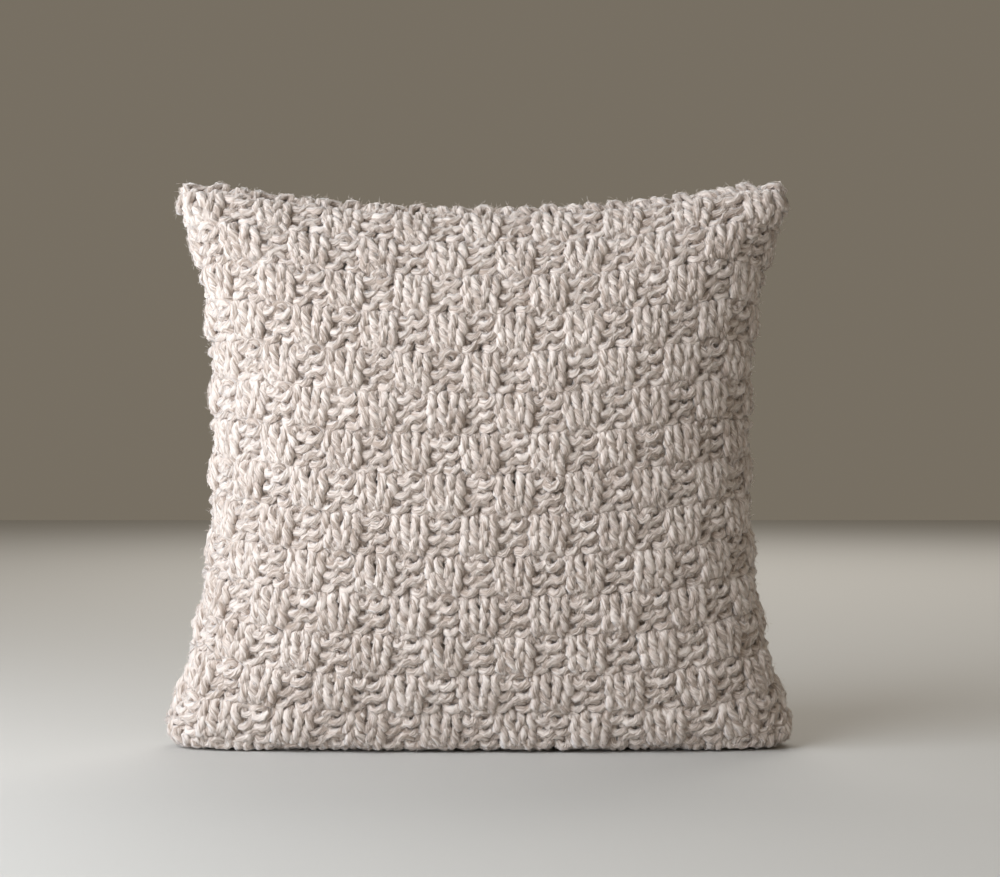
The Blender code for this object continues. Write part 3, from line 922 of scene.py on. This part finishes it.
class Nodes:
    """Short ways to add shader nodes to a new material."""

    def __init__(self, name):
        self.material = bpy.data.materials.new(name)
        self.material.use_nodes = True
        self.tree = self.material.node_tree
        self.shader = self.tree.nodes["Principled BSDF"]

    def feed(self, socket, value):
        if isinstance(value, bpy.types.NodeSocket):
            self.tree.links.new(value, socket)
        else:
            socket.default_value = value

    def add(self, kind, settings=(), **inputs):
        node = self.tree.nodes.new(kind)
        for key, value in dict(settings).items():
            setattr(node, key, value)
        for key, value in inputs.items():
            self.feed(node.inputs[key.replace("_", " ")], value)
        return node

    def math(self, operation, first, second=0.0, third=0.0):
        node = self.tree.nodes.new("ShaderNodeMath")
        node.operation = operation
        for socket, value in zip(node.inputs, (first, second, third)):
            self.feed(socket, value)
        return node.outputs[0]

    def set(self, **inputs):
        for key, value in inputs.items():
            self.feed(self.shader.inputs[key.replace("_", " ")], value)

    def ramp(self, value, *stops):
        node = self.add("ShaderNodeValToRGB", Fac=value)
        elements = node.color_ramp.elements
        while len(elements) < len(stops):
            elements.new(0.5)
        for element, (place, colour) in zip(elements, stops):
            element.position = place
            element.color = colour
        return node.outputs["Color"]

    def noise(self, vector, scale, detail=2.0, roughness=0.5):
        node = self.add(
            "ShaderNodeTexNoise", Vector=vector, Scale=scale, Detail=detail, Roughness=roughness
        )
        return node.outputs["Fac"]

    def wave(self, vector, scale, axis):
        node = self.add(
            "ShaderNodeTexWave", {"bands_direction": axis, "wave_profile": "SIN"},
            Vector=vector, Scale=scale,
        )
        return node.outputs["Fac"]

    def object_place(self):
        return self.add("ShaderNodeTexCoord").outputs["Object"]

    def bump(self, height, strength, distance):
        node = self.add("ShaderNodeBump", Height=height, Strength=strength, Distance=distance)
        self.set(Normal=node.outputs[0])


def known(name):
    return bpy.data.materials.get(name)


def along_yarn(nodes):
    """The length along the yarn and the angle round it, which follows the twist."""
    uv = nodes.add("ShaderNodeUVMap", {"uv_map": "Yarn"})
    parts = nodes.add("ShaderNodeSeparateXYZ", Vector=uv.outputs[0])
    angle = nodes.math("MULTIPLY", parts.outputs[1], 2.0 * math.pi)
    return parts.outputs[0], angle


def fibre_noise(nodes, length, angle, stretch, thickness, detail):
    """Noise drawn out along a yarn, seamless round it."""
    place = nodes.add(
        "ShaderNodeCombineXYZ",
        X=nodes.math("MULTIPLY", length, stretch),
        Y=nodes.math("MULTIPLY", nodes.math("COSINE", angle), thickness),
        Z=nodes.math("MULTIPLY", nodes.math("SINE", angle), thickness),
    )
    return nodes.noise(place.outputs[0], 1.0, detail, 0.6)


def yarn_material():
    """Heathered wool: fibres that follow the yarn's twist, and a soft sheen."""
    if known("oatmeal_wool"):
        return known("oatmeal_wool")
    finish = bpy.context.scene.cushion_yarn
    nodes = Nodes("oatmeal_wool")
    length, angle = along_yarn(nodes)
    fine = fibre_noise(nodes, length, angle, 200.0, 4.2, 2.0)
    strands = fibre_noise(nodes, length, angle, 85.0, 1.5, 1.0)
    patches = nodes.noise(nodes.object_place(), 30.0, 2.0)
    mixed = nodes.math("MULTIPLY_ADD", fine, 0.25, nodes.math("MULTIPLY", strands, 0.60))
    mixed = nodes.math("MULTIPLY_ADD", patches, 0.15, mixed)
    colour = nodes.ramp(mixed, (0.41, finish.dark), (0.49, finish.middle), (0.57, finish.pale))
    nodes.set(Base_Color=colour, Roughness=0.95, Sheen_Weight=0.75, Sheen_Roughness=0.5)
    nodes.set(Specular_IOR_Level=0.12)
    nodes.bump(nodes.math("MULTIPLY_ADD", fine, 0.5, strands), 1.0, 0.0015)
    return nodes.material


def fuzz_material():
    if known("wool_fuzz"):
        return known("wool_fuzz")
    finish = bpy.context.scene.cushion_yarn
    nodes = Nodes("wool_fuzz")
    shade = nodes.noise(nodes.object_place(), 300.0, 1.0)
    nodes.set(Base_Color=nodes.ramp(shade, (0.40, finish.middle), (0.60, PALEST_FIBRE)), Roughness=0.9)
    nodes.set(Specular_IOR_Level=0.15, Sheen_Weight=0.2)
    return nodes.material


def woven_material(name, light, dark, threads, roughness):
    """Plain woven cloth, its threads crossing along X and along the height or depth."""
    if known(name):
        return known(name)
    nodes = Nodes(name)
    place = nodes.object_place()
    warp = nodes.wave(place, threads, "X")
    weft = nodes.wave(place, threads, "Z")
    deep = nodes.wave(place, threads, "Y")
    weave = nodes.math("MULTIPLY", nodes.math("ADD", weft, deep), nodes.math("MULTIPLY", warp, 0.5))
    slubs = nodes.noise(place, 180.0, 3.0)
    mixed = nodes.math("MULTIPLY_ADD", weave, 0.5, nodes.math("MULTIPLY", slubs, 0.5))
    nodes.set(Base_Color=nodes.ramp(mixed, (0.2, dark), (0.7, light)), Roughness=roughness)
    nodes.set(Specular_IOR_Level=0.2, Sheen_Weight=0.1)
    nodes.bump(mixed, 0.6, 0.0002)
    return nodes.material


def cotton_material():
    return woven_material("natural_calico", (0.72, 0.63, 0.56, 1.0), (0.52, 0.44, 0.38, 1.0), 420.0, 0.9)


def tape_material():
    return woven_material("zip_tape_weave", (0.55, 0.48, 0.42, 1.0), (0.36, 0.31, 0.27, 1.0), 520.0, 0.85)


def label_material():
    return woven_material("label_satin", (0.82, 0.81, 0.78, 1.0), (0.68, 0.66, 0.63, 1.0), 900.0, 0.45)


def wadding_material():
    if known("polyester_wadding"):
        return known("polyester_wadding")
    nodes = Nodes("polyester_wadding")
    wisps = nodes.noise(nodes.object_place(), 220.0, 5.0, 0.7)
    nodes.set(Base_Color=nodes.ramp(wisps, (0.3, (0.66, 0.66, 0.65, 1.0)), (0.7, (0.88, 0.88, 0.87, 1.0))))
    nodes.set(Roughness=1.0, Specular_IOR_Level=0.1)
    nodes.bump(wisps, 1.0, 0.001)
    return nodes.material


def nylon_material():
    if known("zip_nylon"):
        return known("zip_nylon")
    nodes = Nodes("zip_nylon")
    cloud = nodes.noise(nodes.object_place(), 400.0, 2.0)
    nodes.set(Base_Color=nodes.ramp(cloud, (0.3, (0.50, 0.43, 0.37, 1.0)), (0.7, (0.60, 0.53, 0.47, 1.0))))
    nodes.set(Roughness=nodes.math("MULTIPLY_ADD", cloud, 0.15, 0.32))
    return nodes.material


def thread_material():
    if known("sewing_cotton"):
        return known("sewing_cotton")
    nodes = Nodes("sewing_cotton")
    length, angle = along_yarn(nodes)
    twisted = nodes.math("MULTIPLY_ADD", length, 9000.0, nodes.math("MULTIPLY", angle, 2.0))
    plies = nodes.math("MULTIPLY_ADD", nodes.math("SINE", twisted), 0.5, 0.5)
    nodes.set(Base_Color=nodes.ramp(plies, (0.1, (0.44, 0.38, 0.32, 1.0)), (0.8, (0.66, 0.60, 0.53, 1.0))))
    nodes.set(Roughness=0.7)
    nodes.bump(plies, 0.6, 0.0001)
    return nodes.material


def metal_material():
    if known("brushed_nickel"):
        return known("brushed_nickel")
    nodes = Nodes("brushed_nickel")
    mapped = nodes.add("ShaderNodeMapping", Vector=nodes.object_place(), Scale=(300.0, 6000.0, 2500.0))
    grain = nodes.noise(mapped.outputs[0], 1.0, 3.0)
    nodes.set(Base_Color=nodes.ramp(grain, (0.3, (0.50, 0.48, 0.45, 1.0)), (0.7, (0.64, 0.62, 0.58, 1.0))))
    nodes.set(Metallic=1.0, Roughness=nodes.math("MULTIPLY_ADD", grain, 0.22, 0.2))
    nodes.bump(grain, 0.15, 0.00005)
    return nodes.material


# ---------------------------------------------------------------- the stage

def aim(item, target):
    item.rotation_euler = (Vector(target) - item.location).to_track_quat("-Z", "Y").to_euler()


def make_stage(stage):
    scene = bpy.context.scene
    camera = bpy.data.objects.new("camera", bpy.data.cameras.new("camera"))
    camera.data.lens = stage.lens
    camera.location = (0.012, -stage.camera_distance, stage.camera_height)
    camera.rotation_euler = (math.pi / 2, 0.0, 0.0)
    scene.collection.objects.link(camera)
    scene.camera = camera

    lamps = (
        ("window_light", (-1.00, -0.85, 0.78), 1.25, 28.5, (0.92, 0.98, 1.06), (0.0, 0.0, 0.2)),
        ("side_fill", (-1.10, -0.40, 0.26), 0.4, 2.8, (0.92, 0.98, 1.07), (-0.15, 0.0, 0.06)),
        ("front_fill", (0.2, -2.4, 1.0), 1.8, 2.6, (1.0, 0.92, 0.80), (0.0, 0.0, 0.2)),
        ("back_light", (0.3, 1.9, 1.9), 2.0, 32.0, (1.0, 0.98, 0.95), (0.0, 0.9, 0.0)),
    )
    for name, place, size, power, colour, target in lamps:
        lamp = bpy.data.objects.new(name, bpy.data.lights.new(name, "AREA"))
        lamp.data.size = size
        lamp.data.energy = power
        lamp.data.color = colour
        lamp.location = place
        aim(lamp, target)
        scene.collection.objects.link(lamp)
    scene.view_settings.view_transform = "Standard"
    world = bpy.data.worlds.new("studio")
    world.use_nodes = True
    world.node_tree.nodes["Background"].inputs["Color"].default_value = SURROUND
    scene.world = world

    bpy.ops.mesh.primitive_plane_add(size=8.0, location=(0.0, 0.0, 0.0))
    floor = bpy.context.object
    floor.name = "floor"
    nodes = Nodes("pale_floor")
    nodes.set(Base_Color=(0.55, 0.535, 0.505, 1.0), Roughness=0.9)
    floor.data.materials.append(nodes.material)


# ---------------------------------------------------------------- operators

class CUSHION_OT_form(bpy.types.Operator):
    """Stuff the cushion's form"""

    bl_idname = "cushion.form"
    bl_label = "Stuff the form"

    def execute(self, context):
        make_form(context.scene.cushion_form)
        return {"FINISHED"}


class CUSHION_OT_panels(bpy.types.Operator):
    """Knit the front and back panels of the cover"""

    bl_idname = "cushion.panels"
    bl_label = "Knit the panels"

    def execute(self, context):
        knit_panel("front", -1, SEED)
        knit_panel("back", 1, SEED + 1)
        return {"FINISHED"}


class CUSHION_OT_seams(bpy.types.Operator):
    """Close the sides and the top with wool stitches"""

    bl_idname = "cushion.seams"
    bl_label = "Sew the seams"

    def execute(self, context):
        make_seams()
        return {"FINISHED"}


class CUSHION_OT_fuzz(bpy.types.Operator):
    """Raise the wool's loose fibres"""

    bl_idname = "cushion.fuzz"
    bl_label = "Raise the fuzz"

    def execute(self, context):
        yarn = context.scene.cushion_yarn
        for k, side in enumerate(("front", "back")):
            make_fuzz(side, yarn, SEED + 2 + k)
            lay_fibres(side, yarn, SEED + 4 + k)
        return {"FINISHED"}


class CUSHION_OT_pad(bpy.types.Operator):
    """Make the pad: its cotton casing, its edge thread and its filling"""

    bl_idname = "cushion.pad"
    bl_label = "Make the pad"

    def execute(self, context):
        make_casing("front", 21)
        make_casing("back", 22)
        make_filling()
        make_pad_thread()
        return {"FINISHED"}


class CUSHION_OT_zip(bpy.types.Operator):
    """Fit the zip in the lower seam"""

    bl_idname = "cushion.zip"
    bl_label = "Fit the zip"

    def execute(self, context):
        make_zip()
        return {"FINISHED"}


class CUSHION_OT_label(bpy.types.Operator):
    """Give the blank care label its satin cloth"""

    bl_idname = "cushion.label"
    bl_label = "Sew in the label"

    def execute(self, context):
        finish_node("care_label", label_material)
        return {"FINISHED"}


class CUSHION_OT_stage(bpy.types.Operator):
    """Set the camera, the lamps and the floor"""

    bl_idname = "cushion.stage"
    bl_label = "Set the stage"

    def execute(self, context):
        make_stage(context.scene.cushion_stage)
        return {"FINISHED"}


OPERATORS = (
    CUSHION_OT_stage,
    CUSHION_OT_form,
    CUSHION_OT_panels,
    CUSHION_OT_seams,
    CUSHION_OT_fuzz,
    CUSHION_OT_pad,
    CUSHION_OT_zip,
    CUSHION_OT_label,
)


class CUSHION_PT_panel(bpy.types.Panel):
    bl_label = "Cushion"
    bl_idname = "CUSHION_PT_panel"
    bl_space_type = "VIEW_3D"
    bl_region_type = "UI"
    bl_category = "Cushion"

    def draw(self, context):
        for operator in OPERATORS:
            self.layout.operator(operator.bl_idname)


SETTINGS = {
    "cushion_form": CushionForm,
    "cushion_knit": CushionKnit,
    "cushion_yarn": CushionYarnFinish,
    "cushion_stage": CushionStage,
}


def register():
    for group in SETTINGS.values():
        bpy.utils.register_class(group)
    for name, group in SETTINGS.items():
        setattr(bpy.types.Scene, name, PointerProperty(type=group))
    for item in OPERATORS + (CUSHION_PT_panel,):
        bpy.utils.register_class(item)


def unregister():
    for item in reversed(OPERATORS + (CUSHION_PT_panel,)):
        bpy.utils.unregister_class(item)
    for name in SETTINGS:
        delattr(bpy.types.Scene, name)
    for group in reversed(SETTINGS.values()):
        bpy.utils.unregister_class(group)


def main():
    register()
    bpy.ops.cushion.stage()
    bpy.ops.cushion.form()
    bpy.ops.cushion.panels()
    bpy.ops.cushion.seams()
    bpy.ops.cushion.fuzz()
    bpy.ops.cushion.pad()
    bpy.ops.cushion.zip()
    bpy.ops.cushion.label()


if __name__ == "__main__":
    main()
